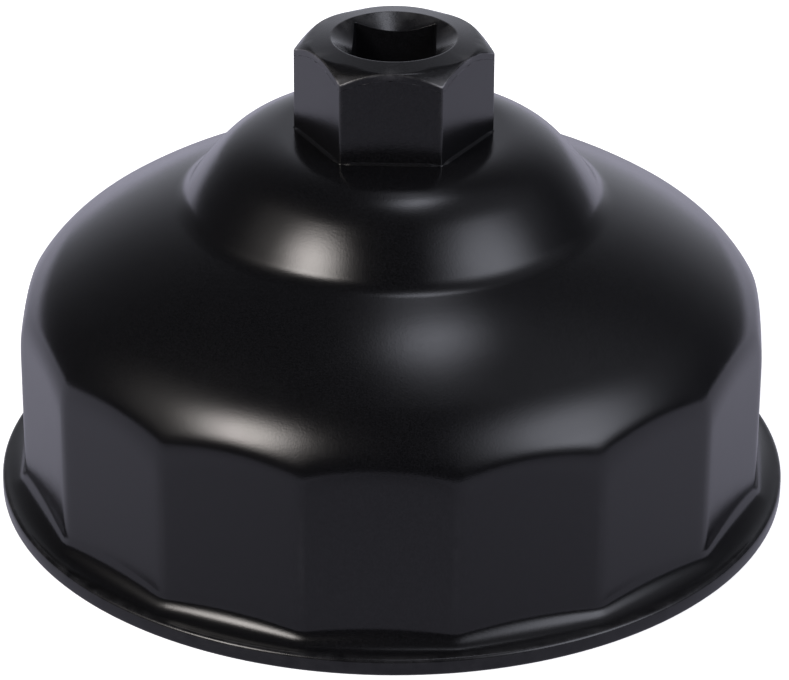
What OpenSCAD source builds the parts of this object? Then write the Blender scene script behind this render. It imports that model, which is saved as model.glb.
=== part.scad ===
// Cap-type oil filter wrench. A pressed-steel bell with flats inside grips the fluted
// end of a spin-on oil filter, and a hex drive nut with a square hole is welded to its crown.
// The axis is +Z, the mouth rests on Z = 0, and one flat and one hex face look along -Y.

/* [Socket] */
// Distance across the flats inside the cup
socket_af = 86.3; // [84:0.1:88]
// Number of flats round the cup
flute_count = 16; // [12:1:18]
// Thickness of the pressed sheet
wall = 2.2; // [1.6:0.1:2.4]

/* [Rim] */
// How far the flared rim stands out past the flats of the skirt
rim_overhang = 3.55; // [2.5:0.05:5]
// Radius of the rounded mouth that leads a filter in
mouth_radius = 3.4; // [2.4:0.1:3.8]
// Radius that breaks the rim's outer edges
rim_edge = 0.5; // [0.2:0.1:0.9]

/* [Bell] */
// Height at which the side starts to curve in over the shoulder
shoulder_start = 17.3; // [14:0.1:20]
// Radius of the bell before the flats are pressed into it
bell_radius = 47.25; // [46.9:0.05:48]
// Radius of the lower, steep part of the shoulder
shoulder_low_r = 16.9; // [16:0.1:17.4]
// Radius of the upper, flatter part of the shoulder
shoulder_top_r = 54; // [53:0.2:55]
// Radius of the hollow where the dome rises from the shoulder
valley_r = 4.2; // [3.6:0.1:4.8]
// Radius of the dome's side
dome_r = 32; // [31:0.5:33]
// Radius that turns the dome into its flat crown
crown_r = 11; // [10.4:0.1:11.6]

/* [Drive nut] */
// Distance across the flats of the hexagon
hex_af = 21; // [19:0.5:23]
// Height of the whole tool, from the rim to the top of the nut
total_h = 59.6; // [58:0.1:62]
// Side of the square drive hole
square_side = 10; // [9.6:0.1:10.2]
// Diameter of the countersink round the square hole
countersink_d = 15.2; // [14.6:0.1:16]
// Diameter of the nut's turned top, inside its chamfer
top_face_d = 20.8; // [18.8:0.1:20.8]
// Slope of the turned top as it falls away from the countersink, measured from level
top_slope = 8; // [0:1:12]
// Angle of the chamfer on the hexagon's corners, measured from level
chamfer_angle = 43; // [30:1:45]
// Diameter of the spigot that passes through the crown
spigot_d = 17; // [16:0.1:18]
// Diameter of the spigot's end, spread over inside the cup
rivet_d = 21; // [19.5:0.5:23]

/* [Weld] */
// Leg of the weld fillet round the foot of the hexagon
weld_leg = 0.4; // [0.3:0.05:1]

/* [Hidden] */
$fn = 96;
black_oxide = [0.07, 0.07, 0.08];
black_weld = [0.11, 0.11, 0.12];
flute_step = 360 / flute_count;
outer_af = socket_af + 2 * wall;
rim_d = outer_af + 2 * rim_overhang;
rim_land = 0.1;              // flat ring between the rim's fillet and its outer edge
rim_fillet = rim_overhang - rim_edge - rim_land;
arc_steps = 9;
cut = 1;                     // how far a cutting shape reaches past the face it opens
fit_gap = 0.05;              // clearance round the spigot in the crown
bore_below_square = 30;      // angle of the countersink's cone, measured from level
rivet_h = 1.4;               // height of the spread end of the spigot
hex_corner_trim = 0.05;      // what is turned off the sharp corners of the hexagon
top_land = 0.15;             // flat ring left round the countersink
hex_corner_r = hex_af / 2 / cos(30) - hex_corner_trim;

// The bell's outline above the skirt, as bends in a row from the side to the crown.
// Each is [radius, slope it ends at], with slopes from level, and a hollow bend is negative.
skirt_slope = 90;
bends = [
    [shoulder_low_r, 35.5],
    [shoulder_top_r, 19.7],
    [-valley_r, 56.7],
    [dome_r, 46.5],
    [crown_r, 0]
];

// Points of one bend that leaves p at one slope and ends at another
function bend(p, slope, bend_r, end_slope) = [
    for (i = [1 : arc_steps])
        let (s = slope + (end_slope - slope) * i / arc_steps)
            p + bend_r * [sin(s) - sin(slope), cos(s) - cos(slope)]
];

// Points of all bends from number i on, each made smaller by inset
function bend_row(p, slope, inset, i = 0) =
    i == len(bends) ? [] :
    let (arc = bend(p, slope, bends[i][0] - inset, bends[i][1]))
        concat(arc, bend_row(arc[arc_steps - 1], bends[i][1], inset, i + 1));

function bell_outline(inset) =
    bend_row([bell_radius - inset, shoulder_start], skirt_slope, inset);

crown_z = bell_outline(0)[len(bends) * arc_steps - 1][1];
inner_crown_z = crown_z - wall;

// Quarter circle of points round a centre, from one angle to another
function quarter(centre, r, from, to) = [
    for (i = [0 : arc_steps])
        let (a = from + (to - from) * i / arc_steps)
            centre + r * [cos(a), sin(a)]
];

// The solid bell before it is given its flats, made smaller by inset
module bell(inset, foot_z) {
    outline = bell_outline(inset);
    top_z = outline[len(outline) - 1][1];
    side = [[0, foot_z], [bell_radius - inset, foot_z], [bell_radius - inset, shoulder_start]];
    rotate_extrude()
        polygon(concat(side, outline, [[0, top_z]]));
}

// Prism with one side for each flat, and a side facing -Y
module fluted_prism(across_flats, foot_z) {
    corner_r = across_flats / 2 / cos(flute_step / 2);
    translate([0, 0, foot_z])
        linear_extrude(total_h)
            polygon([
                for (i = [0 : flute_count - 1])
                    let (a = -90 + (i + 0.5) * flute_step)
                        corner_r * [cos(a), sin(a)]
            ]);
}

// The rim and the hollow fillet that joins it to the skirt
module rim() {
    skirt_r = outer_af / 2;
    core_r = skirt_r - wall;
    fillet_centre = [skirt_r + rim_fillet, wall + rim_fillet];
    low_edge = [rim_d / 2 - rim_edge, rim_edge];
    high_edge = [rim_d / 2 - rim_edge, wall - rim_edge];
    rotate_extrude()
        polygon(concat(
            [[core_r, 0]],
            quarter(low_edge, rim_edge, -90, 0),
            quarter(high_edge, rim_edge, 0, 90),
            quarter(fillet_centre, rim_fillet, 270, 180),
            [[core_r, wall + rim_fillet]]
        ));
}

// The flared mouth, cut out of the rim
module mouth() {
    inner_r = socket_af / 2;
    mouth_centre = [inner_r + mouth_radius, mouth_radius];
    rotate_extrude()
        polygon(concat(
            [[0, -cut], [inner_r + mouth_radius, -cut]],
            quarter(mouth_centre, mouth_radius, 270, 180),
            [[0, mouth_radius]]
        ));
}

// Pressed-steel bell with the flats that grip the filter
module filter_cup() {
    color(black_oxide)
        difference() {
            union() {
                intersection() {
                    bell(0, 0);
                    fluted_prism(outer_af, 0);
                }
                rim();
            }
            intersection() {
                bell(wall, -cut);
                fluted_prism(socket_af, -cut);
            }
            mouth();
            translate([0, 0, inner_crown_z - cut])
                cylinder(h = wall + 2 * cut, d = spigot_d + 2 * fit_gap);
        }
}

// Body of the hexagon, with a turned top and chamfered corners
module hex_head() {
    land_r = countersink_d / 2 + top_land;
    chamfer_z = total_h - (top_face_d / 2 - land_r) * tan(top_slope);
    chamfer_drop = (hex_corner_r - top_face_d / 2) * tan(chamfer_angle);
    intersection() {
        translate([0, 0, crown_z])
            cylinder(h = total_h - crown_z, r = hex_af / 2 / cos(30), $fn = 6);
        rotate_extrude()
            polygon([
                [0, crown_z],
                [hex_corner_r, crown_z],
                [hex_corner_r, chamfer_z - chamfer_drop],
                [top_face_d / 2, chamfer_z],
                [land_r, total_h],
                [0, total_h]
            ]);
    }
}

// Cone that opens the square hole at one face
module countersink() {
    cone_h = countersink_d / 2 * tan(bore_below_square);
    cylinder(h = cone_h, r1 = 0, r2 = countersink_d / 2);
}

// Hexagon with the square drive hole, and the spigot riveted through the crown
module drive_nut() {
    foot_z = inner_crown_z - rivet_h;
    cone_h = countersink_d / 2 * tan(bore_below_square);
    color(black_oxide)
        difference() {
            union() {
                hex_head();
                translate([0, 0, foot_z])
                    cylinder(h = crown_z - foot_z, d = spigot_d);
                translate([0, 0, foot_z])
                    cylinder(h = rivet_h, d = rivet_d);
            }
            translate([-square_side / 2, -square_side / 2, foot_z - cut])
                cube([square_side, square_side, total_h - foot_z + 2 * cut]);
            translate([0, 0, total_h - cone_h])
                countersink();
        }
}

// Solid under one face of the weld, reaching from that face through to the far side
module weld_side() {
    face = [[0, 1], [-0.35, 0.9], [-0.8, 0.45], [-1, 0]];
    translate([-hex_af, -hex_af / 2, 0])
        rotate([90, 0, 90])
            linear_extrude(2 * hex_af)
                polygon(concat([[2 * hex_af, 0], [2 * hex_af, weld_leg]], weld_leg * face));
}

// Weld fillet that closes the joint round the foot of the hexagon
module weld_bead() {
    color(black_weld)
        translate([0, 0, crown_z])
            difference() {
                intersection_for (i = [0 : 5])
                    rotate([0, 0, 60 * i])
                        weld_side();
                translate([0, 0, -cut])
                    cylinder(h = weld_leg + 2 * cut, r = hex_af / 2 / cos(30), $fn = 6);
            }
}

filter_cup();
drive_nut();
weld_bead();
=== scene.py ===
# Looks of a cap-type oil filter wrench: its finished meshes and coating, the studio and the camera.
# Everything is in metres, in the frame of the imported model: +Z up the axis, the mouth at Z = 0.
import math

import bpy
from mathutils import Matrix, Vector


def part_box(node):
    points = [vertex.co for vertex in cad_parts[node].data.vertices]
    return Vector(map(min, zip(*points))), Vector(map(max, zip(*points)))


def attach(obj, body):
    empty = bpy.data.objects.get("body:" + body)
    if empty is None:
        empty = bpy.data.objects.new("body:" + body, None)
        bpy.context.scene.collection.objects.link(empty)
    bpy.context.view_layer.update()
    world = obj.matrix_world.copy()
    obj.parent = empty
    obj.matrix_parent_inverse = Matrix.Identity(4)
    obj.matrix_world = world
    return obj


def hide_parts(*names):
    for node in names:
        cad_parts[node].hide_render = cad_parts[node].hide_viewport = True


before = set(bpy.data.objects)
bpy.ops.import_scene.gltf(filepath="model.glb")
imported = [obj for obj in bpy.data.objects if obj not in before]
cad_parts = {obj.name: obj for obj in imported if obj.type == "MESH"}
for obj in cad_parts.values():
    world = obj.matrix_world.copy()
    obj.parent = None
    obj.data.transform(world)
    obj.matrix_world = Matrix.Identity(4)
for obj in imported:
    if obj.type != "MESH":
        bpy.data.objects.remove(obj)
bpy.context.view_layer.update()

MM = 0.001

# ---------------------------------------------------------------- sizes
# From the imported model
_, cup_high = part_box("filter_cup")
nut_low, nut_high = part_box("drive_nut")
_, weld_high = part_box("weld_bead")
RIM_R = max(cup_high.x, cup_high.y)
CROWN_Z = cup_high.z
NUT_FOOT_Z = nut_low.z
TOTAL_H = nut_high.z
HEX_APOTHEM = nut_high.y
WELD_LEG = weld_high.z - CROWN_Z

FIRST_FLAT = -math.pi / 2        # where the cup, the hexagon and the square each have a flat: -Y

# Socket and rim
FLUTES = 16
WALL = 2.2 * MM
RIM_OVERHANG = 3.55 * MM
SKIRT_APOTHEM = RIM_R - RIM_OVERHANG
SOCKET_APOTHEM = SKIRT_APOTHEM - WALL
RIM_EDGE = 0.5 * MM
RIM_LAND = 0.1 * MM
MOUTH_R = 3.4 * MM
CREASE_R = 3.2 * MM              # rounding of the upright creases between two flats
SCALLOP_BLEND = 1.0 * MM         # how softly the flats run out into the shoulder

# The bell above the skirt, as bends in a row from the side to the crown. Each has a radius, the
# slope from level that it ends at, and the number of steps that it is drawn with.
BELL_R = 47.25 * MM
SHOULDER_START = 17.3 * MM
SKIRT_SLOPE = 90
BENDS = [
    (16.9 * MM, 35.5, 30),
    (54.0 * MM, 19.7, 14),
    (-4.2 * MM, 56.7, 12),
    (32.0 * MM, 46.5, 8),
    (11.0 * MM, 0, 16),
]

# Drive nut
HEX_SIDES = 6
SQUARE_SIDES = 4
SPIGOT_R = 8.5 * MM
HOLE_R = SPIGOT_R + 0.05 * MM    # hole in the crown, with a little room round the spigot
RIVET_R = 10.5 * MM
INNER_CROWN_Z = CROWN_Z - WALL
SQUARE_APOTHEM = 5.0 * MM
COUNTERSINK_R = 7.6 * MM
COUNTERSINK_SLOPE = math.radians(30)
TOP_LAND = 0.15 * MM
TOP_FACE_R = 10.4 * MM
TOP_SLOPE = math.radians(8)
TOP_FACE_Z = TOTAL_H - (TOP_FACE_R - COUNTERSINK_R - TOP_LAND) * math.tan(TOP_SLOPE)
CHAMFER_SLOPE = math.radians(43)
HEX_CORNER = 0.3 * MM            # rounding of the hexagon's upright corners
SQUARE_CORNER = 0.35 * MM        # rounding in the corners of the square hole

# Weld
WELD_RIPPLE = 1.1 * MM           # distance from one ripple to the next
WELD_CORNER = 1.3 * MM           # distance from the hexagon's corners within which it is thinner
WELD_OVERLAP = 0.3 * MM          # how far the weld reaches into the hexagon
WELD_SINK = 0.02 * MM            # how far it reaches into the crown
WELD_MEAN = 0.92                 # its mean leg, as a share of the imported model's
WELD_DRIFT = 0.035               # slow change of the leg on its way round, as a share
WELD_THINNING = 0.6              # how much thinner the leg is at the corners, as a share
WELD_RIPPLE_DEPTH = 0.05         # depth of the ripples, as a share of the leg
WELD_BULGE = 0.05                # roundness of the weld's face, as a share of the leg
WELD_BACK = 0.9                  # height of its hidden back, as a share of the front's

# Fineness of the meshes
FILLET_STEPS = 12
EDGE_STEPS = 5
MOUTH_STEPS = 10
ROUNDING_STEPS = 4
WELD_STEPS = 8
WELD_COLUMNS = 720
SKIRT_ROWS = (0.25, 0.55, 0.85, 0.96)    # shares of the way down from the shoulder to the rim's fillet
SOCKET_ROWS = (0.08, 0.35, 0.7)          # shares of the way up from the mouth to the shoulder
ROUNDING_ROOM = 0.46             # most of a side that the rounding at its end may take
SUPPORT = 0.06 * MM              # distance from a rounding to its support points
SUPPORT_ROOM = 1.07              # furthest support point, as a share of the room for the rounding


# ---------------------------------------------------------------- outlines
def angle_to_corner(angle, sides):
    """Angle between a direction and the nearest corner of a regular polygon with a flat at -Y."""
    step = 2 * math.pi / sides
    return abs((angle - FIRST_FLAT) % step - step / 2)


def polygon_radius(angle, apothem, sides, corner):
    """Distance from the axis to a regular polygon with rounded corners, in the direction angle."""
    half = math.pi / sides
    off_corner = angle_to_corner(angle, sides)
    centre = (apothem - corner) / math.cos(half)
    tangent = math.atan2(corner * math.sin(half), centre + corner * math.cos(half))
    if off_corner >= tangent:
        return apothem / math.cos(half - off_corner)
    across = centre * math.sin(off_corner)
    return centre * math.cos(off_corner) + math.sqrt(corner ** 2 - across ** 2)


def soft_min(a, b, blend):
    """The smaller of two lengths, rounded over where they are close."""
    share = min(max(0.5 + 0.5 * (b - a) / blend, 0.0), 1.0)
    return b + (a - b) * share - blend * share * (1 - share)


def bend_points(start, slope, radius, end_slope, steps):
    """Points of one bend after its start. A hollow bend has a negative radius."""
    points = []
    first = math.radians(slope)
    for i in range(1, steps + 1):
        now = math.radians(slope + (end_slope - slope) * i / steps)
        points.append((
            start[0] + radius * (math.sin(now) - math.sin(first)),
            start[1] + radius * (math.cos(now) - math.cos(first)),
        ))
    return points


def bell_outline(inset):
    """Outline of the bell from the top of its skirt to its crown, made smaller by inset."""
    points = [(BELL_R - inset, SHOULDER_START)]
    slope = SKIRT_SLOPE
    for radius, end_slope, steps in BENDS:
        points += bend_points(points[-1], slope, radius - inset, end_slope, steps)
        slope = end_slope
    return points


def arc(centre, radius, start, end, steps):
    """Points of an arc between two angles in degrees, both ends included."""
    points = []
    for i in range(steps + 1):
        a = math.radians(start + (end - start) * i / steps)
        points.append((centre[0] + radius * math.cos(a), centre[1] + radius * math.sin(a)))
    return points


def round_corners(corners):
    """A closed outline with its corners rounded, and a support point before and after each rounding.
    Each corner is its distance from the axis, its height and the radius of its rounding."""
    points = [Vector((r, z)) for r, z, _ in corners]
    result = []
    count = len(corners)
    for i in range(count):
        here = points[i]
        back = points[i - 1] - here
        ahead = points[(i + 1) % count] - here
        room = ROUNDING_ROOM * min(back.length, ahead.length)
        turn = math.pi - back.angle(ahead)
        reach = min(corners[i][2] * math.tan(turn / 2), room)
        support_reach = min(reach + SUPPORT, SUPPORT_ROOM * room)
        start = here + back.normalized() * reach
        end = here + ahead.normalized() * reach
        result.append(here + back.normalized() * support_reach)
        for k in range(ROUNDING_STEPS + 1):
            t = k / ROUNDING_STEPS
            result.append(start * (1 - t) ** 2 + here * 2 * t * (1 - t) + end * t ** 2)
        result.append(here + ahead.normalized() * support_reach)
    return result


# ---------------------------------------------------------------- meshes
def ring_mesh(name, angles, outline, edge_share):
    """A closed ring: outline(angle) gives the section's points in that direction.
    edge_share(angle, r, z) from 0 to 1 says how much of an edge a point is, for wear and painted
    highlights."""
    sections = [outline(a) for a in angles]
    rows = len(sections[0])
    vertices = []
    shares = []
    for angle, section in zip(angles, sections):
        for r, z in section:
            vertices.append((r * math.cos(angle), r * math.sin(angle), z))
            shares.append(edge_share(angle, r, z))
    faces = []
    columns = len(angles)
    for c in range(columns):
        after = (c + 1) % columns
        for k in range(rows):
            up = (k + 1) % rows
            faces.append((c * rows + k, after * rows + k, after * rows + up, c * rows + up))
    mesh = bpy.data.meshes.new(name)
    mesh.from_pydata(vertices, [], faces)
    mesh.shade_smooth()
    attribute = mesh.attributes.new("edge_share", "FLOAT", "POINT")
    attribute.data.foreach_set("value", shares)
    piece = bpy.data.objects.new(name, mesh)
    bpy.context.scene.collection.objects.link(piece)
    return piece


def angles_round_corners(sides, offsets):
    """Angles either side of each corner of a polygon, the offsets being in degrees."""
    angles = []
    for i in range(sides):
        corner = FIRST_FLAT + (i + 0.5) * 2 * math.pi / sides
        for offset in offsets:
            angles += [corner + math.radians(offset), corner - math.radians(offset)]
    return angles


def tidy_angles(angles, closest=1e-4):
    """The angles in order round the circle, without any that fall together."""
    ordered = sorted(a % (2 * math.pi) for a in angles)
    kept = [ordered[0]]
    for a in ordered[1:]:
        if a - kept[-1] > closest:
            kept.append(a)
    if kept[0] + 2 * math.pi - kept[-1] < closest:
        kept.pop()
    return kept


def near(distance, width):
    """1 at distance 0, falling smoothly to 0 at width."""
    t = min(abs(distance) / width, 1.0)
    return (1 - t * t) ** 2


def cup_outline(angle):
    """Section of the pressed bell in one direction, from its crown out, down, and back up inside."""
    skirt_r = polygon_radius(angle, SKIRT_APOTHEM, FLUTES, CREASE_R + WALL)
    socket_r = polygon_radius(angle, SOCKET_APOTHEM, FLUTES, CREASE_R)
    outer = bell_outline(0)
    inner = bell_outline(WALL)
    flat_middle = (HOLE_R + outer[-1][0]) / 2
    points = [(HOLE_R, CROWN_Z), (flat_middle, CROWN_Z)]
    points += [(soft_min(r, skirt_r, SCALLOP_BLEND), z) for r, z in reversed(outer)]
    edge_r = RIM_R - RIM_EDGE
    fillet_foot = edge_r - RIM_LAND
    fillet = fillet_foot - skirt_r
    fillet_top = WALL + fillet
    for share in SKIRT_ROWS:
        points.append((skirt_r, SHOULDER_START + (fillet_top - SHOULDER_START) * share))
    points += arc((fillet_foot, fillet_top), fillet, 180, 270, FILLET_STEPS)
    points += arc((edge_r, WALL - RIM_EDGE), RIM_EDGE, 90, 0, EDGE_STEPS)
    points += arc((edge_r, RIM_EDGE), RIM_EDGE, 0, -90, EDGE_STEPS)
    mouth_foot = SOCKET_APOTHEM + MOUTH_R
    mouth = mouth_foot - socket_r
    points += arc((mouth_foot, mouth), mouth, 270, 180, MOUTH_STEPS)
    for share in SOCKET_ROWS:
        points.append((socket_r, mouth + (SHOULDER_START - mouth) * share))
    points += [(soft_min(r, socket_r, SCALLOP_BLEND), z) for r, z in inner]
    points += [(HOLE_R, inner[-1][1])]
    return points


def cup_edge_share(angle, r, z):
    """Wear on the rim's outer edges and on the creases of the skirt."""
    rim_band = 0.8 * MM
    rim_reach = 1.4 * MM
    crease_wear = 0.35
    crease_band = 0.7 * MM
    skirt_middle = 13 * MM
    skirt_reach = 11 * MM
    skirt_skin = 0.5 * MM
    rim = 0.0
    if r > RIM_R - 2 * RIM_EDGE:
        rim = max(near(z - WALL, rim_band), near(z, rim_band)) * near(r - RIM_R, rim_reach)
    crease = 0.0
    if r > SKIRT_APOTHEM - skirt_skin:
        across = near(angle_to_corner(angle, FLUTES) * r, crease_band)
        crease = crease_wear * across * near(z - skirt_middle, skirt_reach)
    return max(rim, crease)


def make_cup():
    crease_offsets = (0, 0.12, 0.24, 0.36, 0.48, 0.62, 0.85, 1.6, 3.0, 5.0, 7.2, 9.4, 11.25)
    angles = tidy_angles(angles_round_corners(FLUTES, crease_offsets))
    return ring_mesh("pressed_cup", angles, cup_outline, cup_edge_share)


def chamfer_height(hex_r):
    """Height at which the chamfer meets a side of the hexagon that is hex_r from the axis."""
    return TOP_FACE_Z - (hex_r - TOP_FACE_R) * math.tan(CHAMFER_SLOPE)


def nut_outline(angle):
    """Section of the nut in one direction, from the foot of its hexagon up, in and down the square."""
    hex_r = polygon_radius(angle, HEX_APOTHEM, HEX_SIDES, HEX_CORNER)
    square_r = polygon_radius(angle, SQUARE_APOTHEM, SQUARE_SIDES, SQUARE_CORNER)
    chamfer_z = chamfer_height(hex_r)
    chamfer_mark_foot_z = chamfer_z - 0.8 * MM      # this row keeps the chamfer's wear and painted highlight near its edge
    cone_z = TOTAL_H - (COUNTERSINK_R - square_r) * math.tan(COUNTERSINK_SLOPE)
    return round_corners([
        (SPIGOT_R, CROWN_Z, 0.02 * MM),
        (hex_r, CROWN_Z, 0.1 * MM),
        (hex_r, chamfer_mark_foot_z, 0.02 * MM),
        (hex_r, chamfer_z, 0.3 * MM),
        (TOP_FACE_R, TOP_FACE_Z, 2.6 * MM),
        (COUNTERSINK_R + TOP_LAND, TOTAL_H, 0.2 * MM),
        (COUNTERSINK_R, TOTAL_H, 0.2 * MM),
        (square_r, cone_z, 0.12 * MM),
        (square_r, NUT_FOOT_Z, 0.25 * MM),
        (RIVET_R, NUT_FOOT_Z, 0.5 * MM),
        (RIVET_R, INNER_CROWN_Z, 0.1 * MM),
        (SPIGOT_R, INNER_CROWN_Z, 0.02 * MM),
    ])


def nut_edge_share(angle, r, z):
    """Wear on hex corners and countersink; painted highlight and wear on the chamfer's edge and tips.
    """
    corner_wear = 0.05
    corner_band = 0.45 * MM
    chamfer_wear_and_highlight_line = 0.25
    edge_band = 0.2 * MM
    tip_painted_highlight = 0.75
    tip_highlight_band = 1.5 * MM
    mouth_wear = 0.12
    mouth_band = 0.22 * MM
    top_skin = 0.3 * MM
    side_skin = 0.5 * MM
    from_corner = angle_to_corner(angle, HEX_SIDES) * r
    hex_r = polygon_radius(angle, HEX_APOTHEM, HEX_SIDES, HEX_CORNER)
    on_side = near(r - hex_r, side_skin)
    corner = 0.0
    if z > CROWN_Z + WELD_LEG:
        corner = corner_wear * near(from_corner, corner_band) * on_side
    chamfer = near(z - chamfer_height(hex_r), edge_band) * on_side
    # Painted highlight: the chamfer's tips are made light where their rounded corners would catch the
    # light.
    chamfer_wear_and_highlight = chamfer_wear_and_highlight_line + tip_painted_highlight * near(from_corner, tip_highlight_band)
    mouth = near(r - COUNTERSINK_R, mouth_band) * near(z - TOTAL_H, top_skin)
    return max(corner, chamfer * chamfer_wear_and_highlight, mouth_wear * mouth)


def make_nut():
    hex_offsets = (0, 0.4, 0.8, 1.2, 1.5, 2.2, 4.0, 7.0, 10.0, 13.5)
    square_offsets = (0, 0.7, 1.4, 2.1, 2.5, 3.2)
    even_step = 3
    closest = 1e-3
    angles = angles_round_corners(HEX_SIDES, hex_offsets)
    angles += angles_round_corners(SQUARE_SIDES, square_offsets)
    angles += [math.radians(a) for a in range(0, 360, even_step)]
    return ring_mesh("drive_nut_body", tidy_angles(angles, closest), nut_outline, nut_edge_share)


def weld_outline(angle):
    """Section of the weld in one direction: a rounded fillet, rippled, and thin at the corners."""
    hex_r = polygon_radius(angle, HEX_APOTHEM, HEX_SIDES, HEX_CORNER)
    along = angle * HEX_APOTHEM
    ripple = 0.5 + 0.5 * math.sin(2 * math.pi * along / WELD_RIPPLE)
    drift = math.sin(5 * angle + 0.7) + 0.6 * math.sin(9 * angle + 2.1)
    corner = near(angle_to_corner(angle, HEX_SIDES) * HEX_APOTHEM, WELD_CORNER)
    leg = WELD_LEG * (WELD_MEAN + WELD_DRIFT * drift) * (1 - WELD_THINNING * corner)
    height = leg * (1 - WELD_RIPPLE_DEPTH * ripple)
    points = []
    for i in range(WELD_STEPS + 1):
        share = i / WELD_STEPS
        bulge = WELD_BULGE * leg * math.sin(math.pi * share)
        reach = leg * share
        rise = height * (1 - share)
        outline_r = polygon_radius(angle, HEX_APOTHEM + reach, HEX_SIDES, HEX_CORNER + reach)
        points.append((outline_r + bulge, CROWN_Z + rise + bulge))
    inside = hex_r - WELD_OVERLAP
    points += [(inside, CROWN_Z - WELD_SINK), (inside, CROWN_Z + WELD_BACK * height)]
    return points


def make_weld():
    angles = [2 * math.pi * i / WELD_COLUMNS for i in range(WELD_COLUMNS)]
    return ring_mesh("weld_fillet", angles, weld_outline, lambda angle, r, z: 0.0)


# ---------------------------------------------------------------- coating
def new_node(tree, kind, inputs=None, **settings):
    """A shader node with some of its sockets and settings filled in."""
    node = tree.nodes.new(kind)
    for name, value in settings.items():
        setattr(node, name, value)
    for name, value in (inputs or {}).items():
        node.inputs[name].default_value = value
    return node


def math_node(tree, operation, *values):
    """A Math node on numbers or sockets."""
    node = new_node(tree, "ShaderNodeMath", operation=operation)
    for socket, value in zip(node.inputs, values):
        if isinstance(value, (int, float)):
            socket.default_value = value
        else:
            tree.links.new(value, socket)
    return node.outputs["Value"]


def noise(tree, where, size, detail):
    """Noise whose features are about size metres across."""
    node = new_node(tree, "ShaderNodeTexNoise", {"Scale": 1 / size, "Detail": detail})
    tree.links.new(where, node.inputs["Vector"])
    return node.outputs["Fac"]


def rescale(tree, source, low, high, start=0.3, end=0.7):
    """source brought from between start and end to between low and high."""
    node = new_node(tree, "ShaderNodeMapRange", {
        "From Min": start, "From Max": end, "To Min": low, "To Max": high,
    })
    tree.links.new(source, node.inputs["Value"])
    return node.outputs["Result"]


def mix_colour(tree, factor, first, second):
    """Mix of two colours, each a value or a socket."""
    node = new_node(tree, "ShaderNodeMix", data_type="RGBA")
    tree.links.new(factor, node.inputs["Factor"])
    for name, colour in (("A", first), ("B", second)):
        socket = [s for s in node.inputs if s.name == name and s.type == "RGBA"][0]
        if isinstance(colour, tuple):
            socket.default_value = (*colour, 1)
        else:
            tree.links.new(colour, socket)
    return [s for s in node.outputs if s.type == "RGBA"][0]


def bump(tree, height, depth, normal=None):
    """Bump of a height map that is depth metres deep, over an earlier normal."""
    node = new_node(tree, "ShaderNodeBump", {"Strength": 1.0, "Distance": depth})
    tree.links.new(height, node.inputs["Height"])
    if normal is not None:
        tree.links.new(normal, node.inputs["Normal"])
    return node.outputs["Normal"]


# The coating's features, and how much lighter its patches and specks are than its tint
PATCH_SIZE = 14 * MM
PATCH_TINT = 1.35
SPECK_SIZE = 0.16 * MM
SPECK_TINT = 5
WEAR_SIZE = 1.6 * MM
SHEEN_SIZE = 3.5 * MM
SHEEN_CHANGE = 0.012             # how far the roughness goes either side of its mean
PEEL_SIZE = 1.3 * MM
PEEL_DEPTH = 0.0025 * MM
COAT_IOR = 1.48


def satin_coat(name, tint, worn_and_highlight_colour, roughness, grain_size, grain_depth):
    """Black satin coat: fine grain and specks, faint orange peel, patchy sheen, worn edges, painted
    highlights.
    """
    material = bpy.data.materials.new(name)
    material.use_nodes = True
    tree = material.node_tree
    shader = tree.nodes["Principled BSDF"]
    where = new_node(tree, "ShaderNodeTexCoord").outputs["Object"]
    edge = new_node(tree, "ShaderNodeAttribute", attribute_name="edge_share").outputs["Fac"]

    patches = rescale(tree, noise(tree, where, PATCH_SIZE, 3), 0, 1)
    speckle = rescale(tree, noise(tree, where, SPECK_SIZE, 2), 0, 1, 0.35, 0.8)
    lighter = tuple(PATCH_TINT * c for c in tint)
    dust = tuple(SPECK_TINT * c for c in tint)
    coat = mix_colour(tree, patches, tint, lighter)
    coat = mix_colour(tree, speckle, coat, dust)
    # Edges take the worn colour: wear on the cup, and wear with painted highlights on the nut.
    unevenness = rescale(tree, noise(tree, where, WEAR_SIZE, 4), 0.0, 0.8)
    wear_and_highlight = math_node(tree, "MULTIPLY", edge, unevenness)
    tree.links.new(mix_colour(tree, wear_and_highlight, coat, worn_and_highlight_colour), shader.inputs["Base Color"])

    sheen = noise(tree, where, SHEEN_SIZE, 3)
    sheen = rescale(tree, sheen, roughness - SHEEN_CHANGE, roughness + SHEEN_CHANGE)
    tree.links.new(sheen, shader.inputs["Roughness"])

    peel = bump(tree, noise(tree, where, PEEL_SIZE, 2), PEEL_DEPTH)
    grain = bump(tree, noise(tree, where, grain_size, 3), grain_depth, peel)
    tree.links.new(grain, shader.inputs["Normal"])
    shader.inputs["IOR"].default_value = COAT_IOR
    return material


# ---------------------------------------------------------------- studio
def direction(azimuth, elevation):
    """Unit vector from the object; azimuth 0 is -Y, where the camera is, and 90 is +X."""
    a = math.radians(azimuth)
    e = math.radians(elevation)
    return Vector((math.sin(a) * math.cos(e), -math.cos(a) * math.cos(e), math.sin(e)))


def ramp(tree, source, start, end, low, high):
    """Smooth step of source, from low at start to high at end."""
    node = new_node(tree, "ShaderNodeMapRange", {
        "From Min": start, "From Max": end, "To Min": low, "To Max": high,
    }, interpolation_type="SMOOTHSTEP")
    tree.links.new(source, node.inputs["Value"])
    return node.outputs["Result"]


def dot(tree, where, axis):
    """Dot product of a direction and a fixed axis."""
    node = new_node(tree, "ShaderNodeVectorMath", operation="DOT_PRODUCT")
    tree.links.new(where, node.inputs[0])
    node.inputs[1].default_value = axis
    return node.outputs["Value"]


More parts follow.
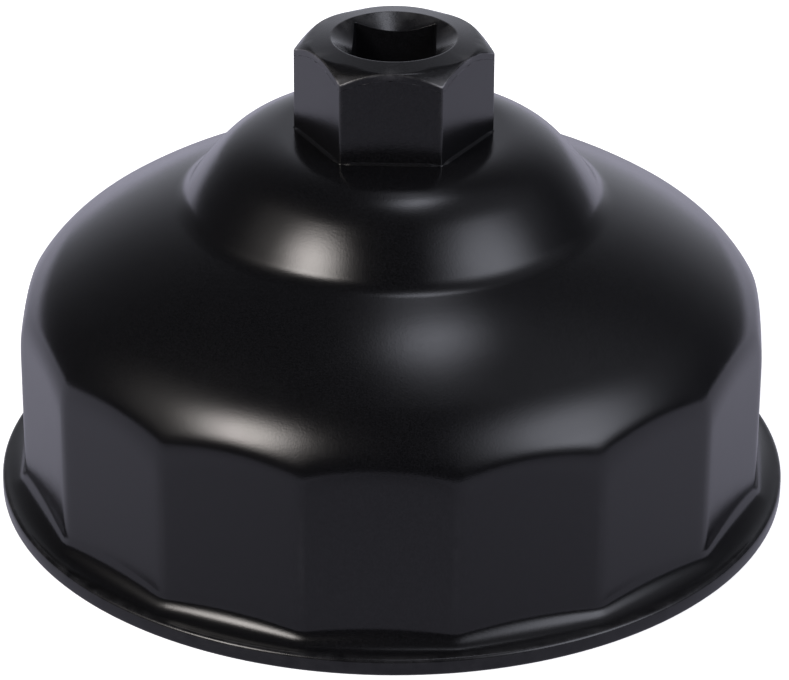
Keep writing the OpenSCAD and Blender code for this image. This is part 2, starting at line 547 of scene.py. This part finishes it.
def soft_panel(tree, where, azimuth, elevation, half_width, half_height, radiance, edge):
    """Brightness of a panel of the tent that fades out to its edges. Angles are in degrees."""
    centre = direction(azimuth, elevation)
    sideways = direction(azimuth + 90, 0)
    upwards = sideways.cross(centre)
    across = math_node(tree, "DIVIDE", dot(tree, where, sideways), math.sin(math.radians(half_width)))
    along = math_node(tree, "DIVIDE", dot(tree, where, upwards), math.sin(math.radians(half_height)))
    across_squared = math_node(tree, "MULTIPLY", across, across)
    distance = math_node(tree, "ADD", across_squared, math_node(tree, "MULTIPLY", along, along))
    fall = math_node(tree, "POWER", distance, edge)
    share = math_node(tree, "EXPONENT", math_node(tree, "MULTIPLY", fall, -1.0))
    in_front = math_node(tree, "GREATER_THAN", dot(tree, where, centre), 0.0)
    return math_node(tree, "MULTIPLY", math_node(tree, "MULTIPLY", share, in_front), radiance)


# Panels of the light tent: azimuth, elevation, half width, half height, radiance, edge sharpness
WARM_PANELS = [
    (-49.5, 39, 12, 10.5, 13.5, 1.3),
    (-48, 26, 11, 7, 2.6, 1.2),
    (-70, 36, 17, 16, 0.9, 1.0),
]
COOL_PANELS = [
    (62, 35, 20, 18.5, 3.3, 1.4),
    (60, 21, 16, 8, 1.5, 1.2),
    (98, 52, 22, 34, 0.25, 1.5),
    (150, 77, 5.5, 6.5, 4.0, 1.1),
    (172, 66, 5, 5, 0.9, 1.1),
    (120, 83, 8, 6, 0.7, 1.1),
    (178, 0, 32, 32, 0.82, 1.2),
]
WARM_WHITE = (1.05, 0.99, 0.95, 1)
COOL_WHITE = (0.95, 0.97, 1.09, 1)
TENT = 0.018                     # even radiance of the tent between its panels
FLOOR_HALF = 2.5
FLOOR_TINT = (0.93, 0.92, 1.12, 1)

# Glow of the floor in reflections, as smooth steps. Each has the places where it starts and ends, in
# metres from the wrench's axis, and the glow at both. SIDE_GLOW runs out along X to either side, and
# the others run along Y, away from the camera.
SIDE_GLOW = (0.0, 0.09, 0.145, 0.36)
BACK_GLOWS = [
    (-0.02, 0.03, 0.0, 0.04),
    (0.1, 0.3, 0.0, 0.24),
    (-0.2, -0.06, 0.0, 0.13),
]


def add_shaders(tree, first, second):
    """Sum of two shaders."""
    node = new_node(tree, "ShaderNodeAddShader")
    tree.links.new(first, node.inputs[0])
    tree.links.new(second, node.inputs[1])
    return node.outputs["Shader"]


def camera_switch(tree, reflected, seen):
    """One shader for light and reflections, and another for what the camera sees directly."""
    node = new_node(tree, "ShaderNodeMixShader")
    rays = new_node(tree, "ShaderNodeLightPath")
    tree.links.new(rays.outputs["Is Camera Ray"], node.inputs["Fac"])
    tree.links.new(reflected, node.inputs[1])
    tree.links.new(seen, node.inputs[2])
    return node.outputs["Shader"]


def panel_light(tree, where, panels, colour, strength):
    """Background of one colour: panels over an even strength."""
    for panel in panels:
        strength = math_node(tree, "ADD", soft_panel(tree, where, *panel), strength)
    background = new_node(tree, "ShaderNodeBackground", {"Color": colour})
    tree.links.new(strength, background.inputs["Strength"])
    return background.outputs["Background"]


def make_world():
    """A light tent with soft panels in reflections, and white to the camera."""
    world = bpy.data.worlds.new("light_tent")
    world.use_nodes = True
    bpy.context.scene.world = world
    tree = world.node_tree
    tree.nodes.clear()
    where = new_node(tree, "ShaderNodeTexCoord").outputs["Generated"]
    warm = panel_light(tree, where, WARM_PANELS, WARM_WHITE, 0.0)
    cool = panel_light(tree, where, COOL_PANELS, COOL_WHITE, TENT)
    tent = add_shaders(tree, warm, cool)
    seen = new_node(tree, "ShaderNodeBackground", {"Color": (1, 1, 1, 1), "Strength": 1.0})
    surface = camera_switch(tree, tent, seen.outputs["Background"])
    output = new_node(tree, "ShaderNodeOutputWorld")
    tree.links.new(surface, output.inputs["Surface"])


def floor_glow(tree):
    """Strength of the floor's glow in reflections: it rises to both sides and towards the back."""
    where = new_node(tree, "ShaderNodeTexCoord").outputs["Object"]
    axes = new_node(tree, "ShaderNodeSeparateXYZ")
    tree.links.new(where, axes.inputs["Vector"])
    glow = ramp(tree, math_node(tree, "ABSOLUTE", axes.outputs["X"]), *SIDE_GLOW)
    for step in BACK_GLOWS:
        glow = math_node(tree, "ADD", glow, ramp(tree, axes.outputs["Y"], *step))
    return glow


def floor_paper():
    """Pale paper, lit through from below so that it shows white, and dimmer in reflections."""
    material = bpy.data.materials.new("floor_white")
    material.use_nodes = True
    tree = material.node_tree
    tree.nodes.clear()
    tinted_glow = new_node(tree, "ShaderNodeEmission", {"Color": FLOOR_TINT})
    tree.links.new(floor_glow(tree), tinted_glow.inputs["Strength"])
    dim_paper = new_node(tree, "ShaderNodeBsdfDiffuse", {"Color": (0.12, 0.12, 0.14, 1)})
    reflected = add_shaders(tree, tinted_glow.outputs["Emission"], dim_paper.outputs["BSDF"])
    pale_paper = new_node(tree, "ShaderNodeBsdfDiffuse", {"Color": (0.8, 0.8, 0.8, 1)})
    white_glow = new_node(tree, "ShaderNodeEmission", {"Color": (1, 1, 1, 1), "Strength": 0.85})
    seen = add_shaders(tree, pale_paper.outputs["BSDF"], white_glow.outputs["Emission"])
    output = new_node(tree, "ShaderNodeOutputMaterial")
    tree.links.new(camera_switch(tree, reflected, seen), output.inputs["Surface"])
    return material


def make_floor():
    """A wide pale floor at Z = 0."""
    half = FLOOR_HALF
    corners = [(-half, -half, 0), (half, -half, 0), (half, half, 0), (-half, half, 0)]
    mesh = bpy.data.meshes.new("floor")
    mesh.from_pydata(corners, [], [(0, 1, 2, 3)])
    mesh.materials.append(floor_paper())
    floor = bpy.data.objects.new("floor", mesh)
    bpy.context.scene.collection.objects.link(floor)


def make_camera():
    """The camera stands in front, a little to the right, and looks down on the wrench."""
    azimuth = math.radians(1.85)
    away = 457.88 * MM
    height = 255.59 * MM
    pitch = math.radians(27.358)
    yaw = math.radians(0.03)
    roll = math.radians(0.309)
    lens = 189.29
    heading = azimuth - yaw
    forward = Vector((
        -math.sin(heading) * math.cos(pitch),
        math.cos(heading) * math.cos(pitch),
        -math.sin(pitch),
    ))
    level = forward.cross(Vector((0, 0, 1))).normalized()
    upright = level.cross(forward)
    right = level * math.cos(roll) + upright * math.sin(roll)
    up = upright * math.cos(roll) - level * math.sin(roll)
    data = bpy.data.cameras.new("camera")
    data.sensor_width = 36
    data.lens = lens
    data.dof.use_dof = False
    data.clip_start = 0.01
    data.clip_end = 20
    camera = bpy.data.objects.new("camera", data)
    turn = Matrix((right, up, -forward)).transposed()
    camera.rotation_mode = "QUATERNION"
    camera.rotation_quaternion = turn.to_quaternion()
    camera.location = (away * math.sin(azimuth), -away * math.cos(azimuth), height)
    bpy.context.scene.collection.objects.link(camera)
    bpy.context.scene.camera = camera


# ---------------------------------------------------------------- scene
def place(piece, node, material):
    """The piece moves with the rigid tool, stands for one CAD node and takes its slot's finish."""
    piece.data.materials.append(material)
    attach(piece, "root")
    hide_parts(node)


make_camera()
make_world()
make_floor()
bpy.context.scene.view_settings.view_transform = "Standard"

cup_coat = satin_coat(
    "satin_black_cup", tint=(0.002, 0.002, 0.0023), worn_and_highlight_colour=(0.03, 0.03, 0.032),
    roughness=0.18, grain_size=0.2 * MM, grain_depth=0.009 * MM)
# The nut's pale worn colour is also its painted highlight on the chamfer's edge and tips.
nut_coat = satin_coat(
    "satin_black_nut", tint=(0.0025, 0.0025, 0.0028), worn_and_highlight_colour=(0.45, 0.45, 0.46),
    roughness=0.18, grain_size=0.2 * MM, grain_depth=0.009 * MM)
weld_coat = satin_coat(
    "satin_black_weld", tint=(0.002, 0.002, 0.0023), worn_and_highlight_colour=(0.03, 0.03, 0.03),
    roughness=0.22, grain_size=0.3 * MM, grain_depth=0.01 * MM)
place(make_cup(), "filter_cup", cup_coat)
place(make_nut(), "drive_nut", nut_coat)
place(make_weld(), "weld_bead", weld_coat)
